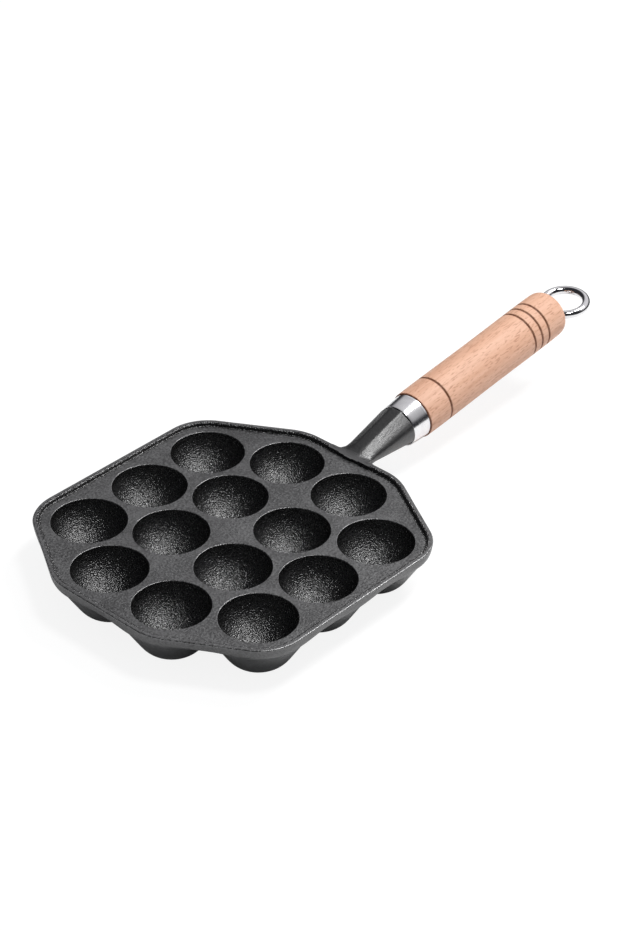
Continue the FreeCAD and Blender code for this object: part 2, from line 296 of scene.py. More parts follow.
def unit(vectors):
    return vectors / np.maximum(np.linalg.norm(vectors, axis=1, keepdims=True), 1e-9)


def settle(field, p, rounds):
    """Moves points onto the surface where a field is zero."""
    for _ in range(rounds):
        slope = gradient(field, p)
        size = np.maximum((slope ** 2).sum(1), LEAST_SLOPE)
        p = p - slope * np.clip(field(p) / size, -SETTLE_LIMIT, SETTLE_LIMIT)[:, None]
    return p


def march(field, start, direction, reach):
    """Walks from outside along a direction until the surface; also tells which points found it."""
    travelled = np.zeros(len(start))
    outside = field(start) > 0
    for _ in range(MARCH_STEPS):
        ahead = field(start + direction * travelled[:, None])
        travelled += MARCH_SHARE * np.clip(ahead, 0, MARCH_LIMIT)
        travelled = np.minimum(travelled, reach)
    p = start + direction * travelled[:, None]
    return p, outside & (np.abs(field(p)) < ON_SURFACE)


def circle(segments):
    """Points round a circle of radius 1."""
    angle = np.linspace(0, 2 * math.pi, segments, endpoint=False)
    return np.stack([np.cos(angle), np.sin(angle)], 1)


def grid_faces(rows, columns):
    """Quads between neighbouring rows of a grid of points, wound so that they face away."""
    index = np.arange(rows * columns).reshape(rows, columns)
    following = np.roll(index, -1, axis=1)
    return np.stack([index[:-1], following[:-1], following[1:], index[1:]], axis=-1).reshape(-1, 4)


def smooth_mesh(name, points, faces, materials):
    """Smooth-shaded mesh in the frame's metres, from points in millimetres."""
    mesh = bpy.data.meshes.new(name)
    mesh.from_pydata(((points + ORIGIN) * MM).tolist(), [], faces)
    for material in materials:
        mesh.materials.append(material)
    mesh.polygons.foreach_set("use_smooth", [True] * len(faces))
    return mesh


def link(name, data):
    """Object in the scene made of a mesh, a lamp or a camera."""
    made = bpy.data.objects.new(name, data)
    bpy.context.scene.collection.objects.link(made)
    return made


class Surface:
    """Points, their normals, faces and each face's material number, gathered from patches."""

    def __init__(self):
        self.points, self.normals, self.faces, self.kinds = [], [], [], []
        self.count = 0

    def add(self, points, normals, faces, kind):
        self.points.append(points)
        self.normals.append(normals)
        self.faces += (np.asarray(faces) + self.count).tolist()
        self.kinds += [kind] * len(faces)
        self.count += len(points)

    def make(self, name, materials):
        mesh = smooth_mesh(name, np.concatenate(self.points), self.faces, materials)
        mesh.polygons.foreach_set("material_index", self.kinds)
        mesh.update()
        normals = unit(np.concatenate(self.normals))
        mesh.normals_split_custom_set_from_vertices(normals.tolist())
        return link(name, mesh)


# ---- Casting: plate, lip and underside ----

PLATE_IRON, PAINTED_SHADE_IRON, OUTER_IRON, EDGE_HIGHLIGHT_IRON = range(4)  # numbers of the casting's materials

OUTLINE_STEPS = (20, 16, 34, 26, 37)       # stations on the edges and corners of one quarter
HOLDING_STRIP = 0.5                        # flat strip beside a round, which keeps the shading flat
ROUND_STEPS = 7                            # stations on each round of the lip and of a mouth
TOP_INSETS = np.linspace(LIP_WIDTH - LIP_ROUND - 0.25, 0.7, 7)
WALL_HEIGHTS = np.linspace(1.3, -2.6, 9)
UNDERSIDE_INSET = WALL_DRAFT + 0.9
UNDERSIDE_SHARES = np.linspace(1, 0.012, 118)             # of the outline's size, ring by ring
TOP_MARCH = (1.5, 5.0)                     # how far outside the surface a march starts, and how
WALL_MARCH = (4.0, 12.0)                   # far it goes: onto the lip's top, onto the wall, and
UNDERSIDE_MARCH = (3.0, STAND_HEIGHT + 2)  # up from under the feet
NECK_SHIFT = 0.3                           # stations that the neck moves further are left to it


def outline_quarter(inset):
    """Quarter of the outline, moved inwards, from the middle of its end to that of its side."""
    normal, _ = slant_edge()
    turn = math.atan2(normal[1], normal[0])
    end_centre, side_centre = corner_centres()
    end_radius, side_radius = END_CORNER_RADIUS - inset, SIDE_CORNER_RADIUS - inset
    straight_end, end_arc, slant, side_arc, straight_side = OUTLINE_STEPS

    def arc(centre, radius, start, stop, steps):
        angle = np.linspace(start, stop, steps + 1)[:-1]
        return np.stack([centre[0] + radius * np.cos(angle), centre[1] + radius * np.sin(angle)], 1)

    def line(start, stop, steps):
        share = np.linspace(0, 1, steps + 1)[:-1, None]
        return np.array(start) * (1 - share) + np.array(stop) * share

    x_edge, y_edge = HALF_LENGTH - inset, HALF_WIDTH - inset
    end_corner = arc(end_centre, end_radius, 0, turn, end_arc)
    side_corner = arc(side_centre, side_radius, turn, math.pi / 2, side_arc)
    leave = (end_centre[0] + end_radius * math.cos(turn),
             end_centre[1] + end_radius * math.sin(turn))
    return np.concatenate([
        line((x_edge, 0), (x_edge, end_centre[1]), straight_end),
        end_corner,
        line(leave, side_corner[0], slant),
        side_corner,
        line((side_centre[0], y_edge), (0, y_edge), straight_side),
        [(0, y_edge)],
    ])


def outline_ring(inset):
    quarter = outline_quarter(inset)
    return np.concatenate([
        quarter,
        (quarter * (-1, 1))[::-1][1:],
        (quarter * (-1, -1))[1:],
        (quarter * (1, -1))[::-1][1:-1],
    ])


def at_height(ring, z):
    return np.column_stack([ring, np.full(len(ring), z)])


def ring_normals():
    """Outward normals, in plan, of the outline's stations."""
    return unit(at_height(outline_ring(0) - outline_ring(2), 0.0))


def lip_profile():
    """Inside of the lip from the recess to its top: (inset, height, normal inwards, normal up)."""
    foot = LIP_WIDTH + LIP_FOOT_ROUND
    profile = [(foot + HOLDING_STRIP, 0, 0, 1)]
    for angle in np.radians(np.linspace(0, 90, ROUND_STEPS)):
        inwards, up = math.sin(angle), math.cos(angle)
        profile.append((foot - LIP_FOOT_ROUND * inwards, LIP_FOOT_ROUND * (1 - up), inwards, up))
    middle = (LIP_WIDTH - LIP_ROUND, LIP_HEIGHT - LIP_ROUND)
    for angle in np.radians(np.linspace(90, 0, ROUND_STEPS)):
        inwards, up = math.sin(angle), math.cos(angle)
        profile.append((middle[0] + LIP_ROUND * inwards, middle[1] + LIP_ROUND * up, inwards, up))
    return profile


def add_lip(surface):
    outward = ring_normals()
    points, normals = [], []
    for inset, height, inwards, up in lip_profile():
        points.append(at_height(outline_ring(inset), height))
        normals.append(outward * -inwards + np.array([0, 0, up]))
    faces = grid_faces(len(points), len(outward))[:, ::-1]
    # the inside of the lip, from the flat strip at its foot to its top, takes near-black iron:
    # painted shade along the crease
    surface.add(np.concatenate(points), np.concatenate(normals), faces, PAINTED_SHADE_IRON)


def add_shell(surface):
    """From the lip's top over the outer wall and under the plate, on the casting's field."""
    outward = ring_normals()
    columns = len(outward)
    down = np.tile([0.0, 0.0, -1.0], (columns, 1))
    rows = [at_height(outline_ring(LIP_WIDTH - LIP_ROUND), LIP_HEIGHT)]
    kept = [np.ones(columns, bool)]

    def add_row(start, direction, reach):
        plain, _ = march(lambda p: casting_field(p, False), start, direction, reach)
        found, good = march(casting_field, start, direction, reach)
        good &= np.linalg.norm(found - plain, axis=1) < NECK_SHIFT
        rows.append(np.where(good[:, None], found, plain))
        kept.append(good)

    for inset in TOP_INSETS:
        start = at_height(outline_ring(inset), LIP_HEIGHT + TOP_MARCH[0])
        add_row(start, down, TOP_MARCH[1])
    for height in WALL_HEIGHTS:
        add_row(at_height(outline_ring(-WALL_MARCH[0]), height), -outward, WALL_MARCH[1])
    edge = outline_ring(UNDERSIDE_INSET)
    for share in UNDERSIDE_SHARES:
        start = at_height(edge * share, -STAND_HEIGHT - UNDERSIDE_MARCH[0])
        found, good = march(casting_field, start, -down, UNDERSIDE_MARCH[1])
        rows.append(found)
        kept.append(good)
    grid, kept = np.stack(rows), np.stack(kept)
    grid = relaxed(grid, 2 + len(TOP_INSETS))
    p = grid.reshape(-1, 3)
    faces = grid_faces(len(grid), columns)[:, ::-1]
    complete = kept.reshape(-1)[faces].all(1)
    # row 0, at the inner edge of the lip's top, takes near-black iron as painted shade
    row = np.arange(len(faces)) // columns
    # the row on the lip's outer edge takes lighter iron as a painted highlight
    kind = np.where(row == 0, PAINTED_SHADE_IRON, np.where(row == len(TOP_INSETS), EDGE_HIGHLIGHT_IRON, OUTER_IRON))
    slopes = gradient(casting_field, p)
    for iron_kind in np.unique(kind):
        surface.add(p, slopes, faces[complete & (kind == iron_kind)], int(iron_kind))
    middle = np.concatenate([grid[-1], [[0.0, 0.0, grid[-1][:, 2].mean()]]])
    fan = [[(i + 1) % columns, i, columns] for i in range(columns)]
    surface.add(middle, gradient(casting_field, middle), fan, OUTER_IRON)


def relaxed(grid, fixed_rows, rounds=14):
    """Evens out the grid's spacing on the field's surface, below its first rows."""
    for _ in range(rounds):
        inner = grid[1:-1]
        around = (grid[:-2] + grid[2:] + np.roll(inner, 1, 1) + np.roll(inner, -1, 1)) / 4
        moved = inner * 0.5 + around * 0.5
        moved = settle(casting_field, moved.reshape(-1, 3), 1).reshape(moved.shape)
        grid = grid.copy()
        grid[1 + fixed_rows:-1] = moved[fixed_rows:]
    last = settle(casting_field, grid[fixed_rows + 1:].reshape(-1, 3), 2)
    grid[fixed_rows + 1:] = last.reshape(-1, *grid.shape[1:])
    return grid


# ---- Casting: moulds and plate top ----

MOULD_SEGMENTS = 96
BALL_STEPS = 30
POLE_GAP = 0.02                            # radians at a mould's bottom that a fan closes
BALL_RADIUS = (MOULD_RADIUS ** 2 + MOULD_DEPTH ** 2) / (2 * MOULD_DEPTH)
BALL_HEIGHT = BALL_RADIUS - MOULD_DEPTH
ROUND_PLACE = math.sqrt((BALL_RADIUS + MOUTH_ROUND) ** 2 - (MOUTH_ROUND + BALL_HEIGHT) ** 2)
TOP_TOLERANCE = 0.05


def mould_profile():
    """(radius, height, normal outwards, normal up) from the plate's top to the mould's bottom."""
    profile = [(ROUND_PLACE + HOLDING_STRIP, 0, 0, 1)]
    tilt = math.atan2(MOUTH_ROUND + BALL_HEIGHT, ROUND_PLACE)
    for angle in np.linspace(0, math.pi / 2 + tilt, ROUND_STEPS):
        out, up = -math.sin(angle), math.cos(angle)
        profile.append((ROUND_PLACE + MOUTH_ROUND * out, -MOUTH_ROUND + MOUTH_ROUND * up, out, up))
    for angle in np.linspace(tilt, math.pi / 2 - POLE_GAP, BALL_STEPS)[1:]:
        out, down = math.cos(angle), math.sin(angle)
        profile.append((BALL_RADIUS * out, BALL_HEIGHT - BALL_RADIUS * down, -out, down))
    return profile


def add_mould(surface, centre):
    profile = mould_profile()
    around = circle(MOULD_SEGMENTS)
    points = [at_height(around * radius + centre, height) for radius, height, _, _ in profile]
    points.append(np.array([[centre[0], centre[1], -MOULD_DEPTH]]))
    normals = [at_height(around * out, up) for _, _, out, up in profile]
    normals.append(np.array([[0.0, 0.0, 1.0]]))
    points, normals = np.concatenate(points), np.concatenate(normals)
    faces = grid_faces(len(profile), MOULD_SEGMENTS)
    strip, mouth = MOULD_SEGMENTS, ROUND_STEPS * MOULD_SEGMENTS
    last = (len(profile) - 1) * MOULD_SEGMENTS
    fan = [[last + i, last + (i + 1) % MOULD_SEGMENTS, last + MOULD_SEGMENTS]
           for i in range(MOULD_SEGMENTS)]
    surface.add(points, normals, faces[:strip], PLATE_IRON)
    # the mouth's round takes lighter iron as a painted highlight
    surface.add(points, normals, faces[strip:mouth], EDGE_HIGHLIGHT_IRON)
    # the mould's hollow takes near-black iron as painted shade, over a real pebbled skin
    surface.add(points, normals, faces[mouth:], PAINTED_SHADE_IRON)
    surface.add(points, normals, fan, PAINTED_SHADE_IRON)


def add_plate_top(surface):
    """Flat top between the lip's foot and the mouths."""
    inset = LIP_WIDTH + LIP_FOOT_ROUND + HOLDING_STRIP
    mouth_radius = ROUND_PLACE + HOLDING_STRIP
    loops = [outline_ring(inset)]
    loops += [circle(MOULD_SEGMENTS) * mouth_radius + centre for centre in mould_centres()]
    points, edges = [], []
    for loop in loops:
        start = len(points)
        points += [Vector(point) for point in loop]
        edges += [(start + i, start + (i + 1) % len(loop)) for i in range(len(loop))]
    flat, _, triangles, _, _, _ = delaunay_2d_cdt(points, edges, [], 1, 1e-6)
    flat = np.array([tuple(point) for point in flat])
    triangles = np.array(triangles)
    middle = flat[triangles].mean(1)
    keep = outline_distance(middle[:, 0], middle[:, 1]) < -inset
    for centre in mould_centres():
        keep &= np.hypot(*(middle - centre).T) > mouth_radius - TOP_TOLERANCE
    up = np.tile([0.0, 0.0, 1.0], (len(flat), 1))
    surface.add(at_height(flat, 0.0), up, triangles[keep], PLATE_IRON)


# ---- Casting: neck ----

NECK_BOX = ((86.0, -22.0, -20.0), (134.0, 22.0, 21.0))
NECK_CELL = 0.5
NET_PARTS = 40                             # parts of the box, computed one after the other
NECK_STANDOUT = 0.002                      # how far the neck's points stand out of the plain pan
NECK_END_SLACK = 0.2


def surface_net(field, low, high, cell):
    """Quads on the surface of a field, one point in each cell of a box that the surface crosses."""
    axes = [np.arange(a, b + cell, cell) for a, b in zip(low, high)]
    size = [len(axis) for axis in axes]
    grid = np.stack(np.meshgrid(*axes, indexing="ij"), -1).reshape(-1, 3)
    parts = np.array_split(grid, NET_PARTS)
    value = np.concatenate([field(part) for part in parts]).reshape(size)
    inside = value < 0
    halves = (slice(None, -1), slice(1, None))
    corners = [inside[i, j, k] for i in halves for j in halves for k in halves]
    total = np.sum(corners, axis=0)
    crossing = (total > 0) & (total < len(corners))
    number = np.full(crossing.shape, -1)
    number[crossing] = np.arange(crossing.sum())
    points = np.stack(np.nonzero(crossing), 1) * cell + np.array(low) + cell / 2
    quads = []
    for axis in range(3):
        others = [a for a in range(3) if a != axis]
        near = np.take(inside, range(size[axis] - 1), axis)
        far = np.take(inside, range(1, size[axis]), axis)
        place = np.stack(np.nonzero(near != far), 1)
        enters = near[tuple(place.T)]
        limit = np.array(size)[others] - 1
        fits = ((place[:, others] > 0) & (place[:, others] < limit)).all(1)
        place, enters = place[fits], enters[fits]
        cells = []
        for du, dv in ((0, 0), (-1, 0), (-1, -1), (0, -1)):
            offset = np.zeros(3, int)
            offset[others[0]], offset[others[1]] = du, dv
            cells.append(number[tuple((place + offset).T)])
        quad = np.stack(cells, 1)
        flip = enters if axis != 1 else ~enters
        quad[flip] = quad[flip][:, ::-1]
        quads.append(quad)
    return points, np.concatenate(quads)


def add_neck(surface):
    """The neck as far as the ferrule, with the part of the lip that it changes."""
    points, quads = surface_net(casting_field, *NECK_BOX, NECK_CELL)
    points = settle(casting_field, points, 4)
    covered = casting_field(points, False) > NECK_STANDOUT
    covered &= axis_coordinates(points)[0] < NECK_END + NECK_END_SLACK
    keep = covered[quads].any(1)
    surface.add(points, gradient(casting_field, points), quads[keep][:, ::-1], OUTER_IRON)


# ---- Handle pieces ----

TURNED_SEGMENTS = 160
EDGE_STEPS = 6                             # stations on a round of the ferrule or the grip's front
GRIP_END_STEPS = 16                        # and on the round of the grip's end

FERRULE_FRONT_RADIUS = 12.3
FERRULE_BACK_RADIUS = 13.25
FERRULE_WALL = 0.8
FERRULE_ROUND = 0.25
FERRULE_ROLL = 1.0                         # how far the front edge turns in

GROOVES = (60.0, 133.8, 140.0, 146.2)
GROOVE_RADIUS = 0.8
GROOVE_LIFT = 0.3                          # of the groove's round cutter over the grip's side
GROOVE_REACH = 1.0                         # on each side of a groove's middle, where stations are
GROOVE_STEPS = 25                          # close together
GRIP_PLACES = (FERRULE_END, 60.6, 98.3, 139.7, GRIP_END)
GRIP_RADII = (13.8, 13.98, 13.9, 14.15, 13.9)
GRIP_STEP = 1.5
GRIP_FRONT_ROUND = 0.5
GRIP_END_ROUND = 4.5
POCKET_RADIUS = 8.0
POCKET_BEVEL = 0.3
POCKET_FLOOR = RING_CENTRE - RING_RADIUS - WIRE_RADIUS - 1.9
GRIP_BORE_RADIUS = 3.5

RING_SEGMENTS = 192
WIRE_SEGMENTS = 40


def on_axis(along, across, height):
    """Points from lengths along the handle's axis, sideways places and heights over the axis."""
    return (AXIS_START + np.outer(along, AXIS_DIR) + np.outer(height, AXIS_UP)
            + np.outer(across, [0.0, 1.0, 0.0]))


def turned(name, profile, material):
    """A body of revolution about the handle's axis, from (length, radius) points."""
    across, height = circle(TURNED_SEGMENTS).T
    points = [on_axis(np.full(TURNED_SEGMENTS, along), radius * across, radius * height)
              for along, radius in profile]
    faces = grid_faces(len(profile), TURNED_SEGMENTS).tolist()
    return link(name, smooth_mesh(name, np.concatenate(points), faces, [material]))


def make_ferrule(material):
    """Polished sleeve with rolled edges."""
    start, stop = NECK_END, FERRULE_END
    front, back = FERRULE_FRONT_RADIUS, FERRULE_BACK_RADIUS
    profile = [(start + FERRULE_ROLL, front - FERRULE_WALL), (start, front - FERRULE_WALL)]
    for angle in np.radians(np.linspace(180, 90, EDGE_STEPS)):
        profile.append((start + FERRULE_ROUND * (1 + math.cos(angle)),
                        front - FERRULE_ROUND * (1 - math.sin(angle))))
    for share in np.linspace(0.1, 0.9, 9):
        profile.append((start + share * (stop - start), front + share * (back - front)))
    for angle in np.radians(np.linspace(90, 0, EDGE_STEPS)):
        profile.append((stop - FERRULE_ROUND * (1 - math.cos(angle)),
                        back - FERRULE_ROUND * (1 - math.sin(angle))))
    profile.append((stop, back - FERRULE_WALL))
    return turned("steel_ferrule", profile, material)


def grip_profile():
    side = np.polyfit(GRIP_PLACES, GRIP_RADII, 4)
    places = list(np.arange(FERRULE_END + GRIP_FRONT_ROUND, GRIP_END - GRIP_END_ROUND, GRIP_STEP))
    for groove in GROOVES:
        places += list(np.linspace(groove - GROOVE_REACH, groove + GROOVE_REACH, GROOVE_STEPS))
    places = np.array(sorted(set(places)))
    radii = np.polyval(side, places)
    for groove in GROOVES:
        away = np.minimum(np.abs(places - groove), GROOVE_RADIUS)
        radii -= np.maximum(np.sqrt(GROOVE_RADIUS ** 2 - away ** 2) - GROOVE_LIFT, 0)
    front = GRIP_RADII[0] - GRIP_FRONT_ROUND
    profile = [(FERRULE_END, FERRULE_BACK_RADIUS - FERRULE_WALL)]
    for angle in np.radians(np.linspace(180, 100, EDGE_STEPS)):
        profile.append((FERRULE_END + GRIP_FRONT_ROUND * (1 + math.cos(angle)),
                        front + GRIP_FRONT_ROUND * math.sin(angle)))
    profile += list(zip(places, radii))
    back = GRIP_RADII[-1] - GRIP_END_ROUND
    for angle in np.radians(np.linspace(88, 0, GRIP_END_STEPS)):
        profile.append((GRIP_END - GRIP_END_ROUND * (1 - math.cos(angle)),
                        back + GRIP_END_ROUND * math.sin(angle)))
    profile += [(GRIP_END, POCKET_RADIUS + POCKET_BEVEL), (GRIP_END - POCKET_BEVEL, POCKET_RADIUS),
                (POCKET_FLOOR, POCKET_RADIUS), (POCKET_FLOOR, GRIP_BORE_RADIUS)]
    return profile


def make_grip(material):
    return turned("wooden_grip", grip_profile(), material)


def make_ring(material):
    """Ring of round wire."""
    out, side = circle(RING_SEGMENTS).T[:, :, None]
    wire_out, wire_up = circle(WIRE_SEGMENTS).T[:, None, :]
    reach = RING_RADIUS + WIRE_RADIUS * wire_out
    along = RING_CENTRE + reach * out
    height = -RING_DROP + WIRE_RADIUS * wire_up + 0 * out
    points = on_axis(along.ravel(), (reach * side).ravel(), height.ravel())
    wrap = np.arange(WIRE_SEGMENTS)
    last = (RING_SEGMENTS - 1) * WIRE_SEGMENTS
    seam = np.stack([last + wrap, last + np.roll(wrap, -1), np.roll(wrap, -1), wrap], 1)
    faces = np.concatenate([grid_faces(RING_SEGMENTS, WIRE_SEGMENTS), seam])[:, ::-1].tolist()
    return link("steel_ring", smooth_mesh("steel_ring", points, faces, [material]))


# ---- Materials ----

class Nodes:
    """Short names for building the node tree of a material or of the world."""

    def __init__(self, owner):
        owner.use_nodes = True
        self.owner = owner
        self.tree = owner.node_tree
        self.shader = self.tree.nodes.get("Principled BSDF")
        self.place = self.tree.nodes.new("ShaderNodeTexCoord").outputs["Object"]

    def node(self, kind, inputs=None, **settings):
        made = self.tree.nodes.new("ShaderNode" + kind)
        for key, value in settings.items():
            setattr(made, key, value)
        for key, value in (inputs or {}).items():
            self.feed(made.inputs[key], value)
        return made

    def feed(self, socket, value):
        if isinstance(value, bpy.types.NodeSocket):
            self.tree.links.new(value, socket)
        else:
            socket.default_value = value

    def stretched(self, scale):
        """Object coordinates, turned to lie along the handle and then stretched."""
        inputs = {"Vector": self.place, "Rotation": (0.0, HANDLE_RISE, 0.0)}
        turned_place = self.node("VectorRotate", inputs, rotation_type="EULER_XYZ").outputs[0]
        return self.node("VectorMath", {0: turned_place, 1: scale}, operation="MULTIPLY").outputs[0]

    def noise(self, vector, scale, detail=3.0, roughness=0.55):
        made = self.node("TexNoise", {"Vector": vector, "Scale": scale, "Detail": detail,
                                      "Roughness": roughness})
        return made.outputs["Fac"]

    def cells(self, vector, scale, smoothness=0.6):
        made = self.node("TexVoronoi", {"Vector": vector, "Scale": scale, "Smoothness": smoothness},
                         feature="SMOOTH_F1")
        return made.outputs["Distance"]

    def math(self, operation, a, b=0.0):
        return self.node("Math", {0: a, 1: b}, operation=operation).outputs[0]

    def between(self, value, low, high, start=0.0, stop=1.0):
        """Goes smoothly from start to stop while the value goes from low to high."""
        inputs = {"Value": value, "From Min": low, "From Max": high,
                  "To Min": start, "To Max": stop}
        return self.node("MapRange", inputs, interpolation_type="SMOOTHSTEP").outputs["Result"]

    def blend(self, share, first, second):
        """Mixes two colours."""
        return self.node("Mix", {0: share, 6: first, 7: second}, data_type="RGBA").outputs[2]

    def mixed(self, share, first, second):
        """Mixes two shaders."""
        return self.node("MixShader", {0: share, 1: first, 2: second}).outputs[0]

    def bump(self, height, strength, distance, below=None):
        inputs = {"Height": height, "Strength": strength, "Distance": distance}
        if below is not None:
            inputs["Normal"] = below
        return self.node("Bump", inputs).outputs["Normal"]

    def rays(self):
        """Whether the camera sees a place straight, and whether something shiny shows it."""
        path = self.node("LightPath").outputs
        shiny = self.math("MAXIMUM", path["Is Glossy Ray"], path["Is Transmission Ray"])
        return path["Is Camera Ray"], shiny

    def finish(self, **inputs):
        for key, value in inputs.items():
            self.feed(self.shader.inputs[key.replace("_", " ")], value)
        return self.owner


def grey(value, tint=(1.0, 1.0, 1.0)):
    return tuple(value * part for part in tint) + (1.0,)


# Scales of noise, per metre. Stretched noise has three: along, across and up from the handle.
PATCHES = 60.0
SPECKLES = 950.0
PEBBLES = 1500.0
PEBBLE_GRAIN = 1100.0
PATCH_SHARE = 0.3
SPECKLE_SHARE = 0.7
MIDDLE_NOISE = (0.3, 0.7)                  # values of noise between which a colour or gloss goes
UPPER_NOISE = (0.35, 0.7)                  # from one end of its range to the other
IRON_NOISE = (0.40, 0.62)
GLOSS_SPREAD = 0.07
FOOT_SHADE_FADE = (0.019, 0.004)                 # metres up over which the outside's iron darkens to the feet as painted shade, and metres along X over which it darkens to the neck
NECK_FADE = (-0.013, -0.007)               # and metres along X over which it darkens to the neck


def iron(name, tones, roughness, index, grain, pebbles=0.0, foot_shade_and_neck_tone=None):
    """Coated cast iron: dark and speckled, with sand grain and, in the moulds, a pebbled skin.

    Tones are the darkest and brightest grey. Grain is its size and depth, and pebbles a depth, in
    millimetres. With foot_shade_and_neck_tone, the brightest grey darkens towards the feet as
    painted shade, and is darker on the neck.
    """
    n = Nodes(bpy.data.materials.new(name))
    patches = n.noise(n.place, PATCHES, 4.0)
    speckle = n.noise(n.place, SPECKLES, 2.0)
    tone = n.math("ADD", n.math("MULTIPLY", patches, PATCH_SHARE),
                  n.math("MULTIPLY", speckle, SPECKLE_SHARE))
    bright = grey(tones[1], (1.0, 1.0, 1.015))
    # painted shade: the brightest grey darkens towards the feet; it is also darker on the neck
    if foot_shade_and_neck_tone:
        place = n.node("SeparateXYZ", {0: n.place}).outputs
        bright = n.blend(n.between(place[2], *FOOT_SHADE_FADE), bright, grey(foot_shade_and_neck_tone[0]))
        bright = n.blend(n.between(place[0], *NECK_FADE), bright, grey(foot_shade_and_neck_tone[1]))
    colour = n.blend(n.between(tone, *IRON_NOISE), grey(tones[0]), bright)
    grain_size, grain_depth = grain
    sand = n.noise(n.place, 1 / (grain_size * MM), 3.0, 0.6)
    normal = n.bump(sand, 1.0, grain_depth * MM)
    if pebbles:
        skin = n.math("ADD", n.cells(n.place, PEBBLES), n.noise(n.place, PEBBLE_GRAIN, 3.0, 0.6))
        normal = n.bump(skin, 1.0, pebbles * MM, normal)
    gloss = n.between(tone, *MIDDLE_NOISE, roughness - GLOSS_SPREAD, roughness + GLOSS_SPREAD)
    return n.finish(Base_Color=colour, Roughness=gloss, Normal=normal,
                    Specular_IOR_Level=0.95, IOR=index)


LONG_GRAIN = (18.0, 260.0, 260.0)
WIDE_GRAIN = (5.0, 70.0, 70.0)
FLECKS = (240.0, 1500.0, 1500.0)
BURN_GRAIN = 500.0
FLECK_NOISE = (0.55, 0.68)
BAND_SHARE = 0.55                          # of the warm colour in the wide bands,
FLECK_SHARE = 0.6                          # and of the flecks' own colour in them
STREAK_DEPTH = 0.05
FLECK_DEPTH = 0.03
BEECH_ROUGHNESS = (0.50, 0.60)
BEECH_DEEP = (0.60, 0.33, 0.22, 1)
BEECH_PALE = (0.74, 0.46, 0.335, 1)
BEECH_WARM = (0.74, 0.44, 0.30, 1)
BEECH_FLECK = (0.42, 0.20, 0.12, 1)
BEECH_BURNT = (0.12, 0.03, 0.006, 1)
GRIP_BURNS = ((FERRULE_END, 1.1),) + tuple((groove, 1.2) for groove in GROOVES)  # place, width
BURN_STRENGTH = 0.95
BURN_CORE = 0.25                           # share of its width over which a burn is full


def beech():
    """Smooth turned beech along the handle, with flecks, and grooves burned brown."""
    n = Nodes(bpy.data.materials.new("beech"))
    streaks = n.noise(n.stretched(LONG_GRAIN), 1.0, 4.0, 0.6)
    bands = n.noise(n.stretched(WIDE_GRAIN), 1.0, 2.0)
    fleck = n.between(n.noise(n.stretched(FLECKS), 1.0, 1.0), *FLECK_NOISE)
    pale = n.blend(n.between(streaks, *MIDDLE_NOISE), BEECH_DEEP, BEECH_PALE)
    warm = n.blend(n.between(bands, *UPPER_NOISE, 0.0, BAND_SHARE), pale, BEECH_WARM)
    flecked = n.blend(n.math("MULTIPLY", fleck, FLECK_SHARE), warm, BEECH_FLECK)
    along = n.node("SeparateXYZ", {0: n.stretched((1.0, 1.0, 1.0))}).outputs[0]
    burn = 0.0
    for place, width in GRIP_BURNS:
        middle = (AXIS_START + AXIS_DIR * place + ORIGIN) @ AXIS_DIR * MM
        away = n.math("ABSOLUTE", n.math("SUBTRACT", along, float(middle)))
        mark = n.between(away, width * MM, BURN_CORE * width * MM, 0.0, BURN_STRENGTH)
        burn = n.math("MAXIMUM", mark, burn)
    uneven = n.math("MULTIPLY", burn, n.between(n.noise(n.place, BURN_GRAIN), 0.3, 0.6, 0.75, 1.0))
    colour = n.blend(uneven, flecked, BEECH_BURNT)
    normal = n.bump(streaks, 0.25, STREAK_DEPTH * MM)
    normal = n.bump(fleck, 0.2, FLECK_DEPTH * MM, normal)
    rough = n.between(streaks, *MIDDLE_NOISE, *BEECH_ROUGHNESS)
    return n.finish(Base_Color=colour, Roughness=rough, Normal=normal, Specular_IOR_Level=0.35)


TURNING_LINES = (2600.0, 60.0, 60.0)
SMEARS = 130.0


def steel(name, brightness, roughness, line_depth):
    """Plated steel with fine turning lines, as deep as given in millimetres, and faint smears."""
    n = Nodes(bpy.data.materials.new(name))
    lines = n.noise(n.stretched(TURNING_LINES), 1.0, 2.0)
    smears = n.noise(n.place, SMEARS, 3.0)
    smeared = grey(brightness * 0.9, (1.0, 0.99, 1.01))
    tone = n.blend(n.between(smears, *UPPER_NOISE), grey(brightness), smeared)
    normal = n.bump(lines, 0.3, line_depth * MM)
    gloss = n.between(smears, *MIDDLE_NOISE, roughness * 0.85, roughness * 1.3)
    return n.finish(Base_Color=tone, Metallic=1.0, Roughness=gloss, Normal=normal)


PAPER_GREYS = (0.80, 0.82)
FLOOR_GLOW = 0.87                          # the paper to the camera: its own brightness, and the
FLOOR_SHADE = 0.19                         # part that light adds, so that only the shadow is grey
SHEET_EDGE = (0.28, 0.50)                  # metres: how far out shiny pieces still show it white
SHEET_GREYS = (0.95, 0.08)                 # what they show there, and further out


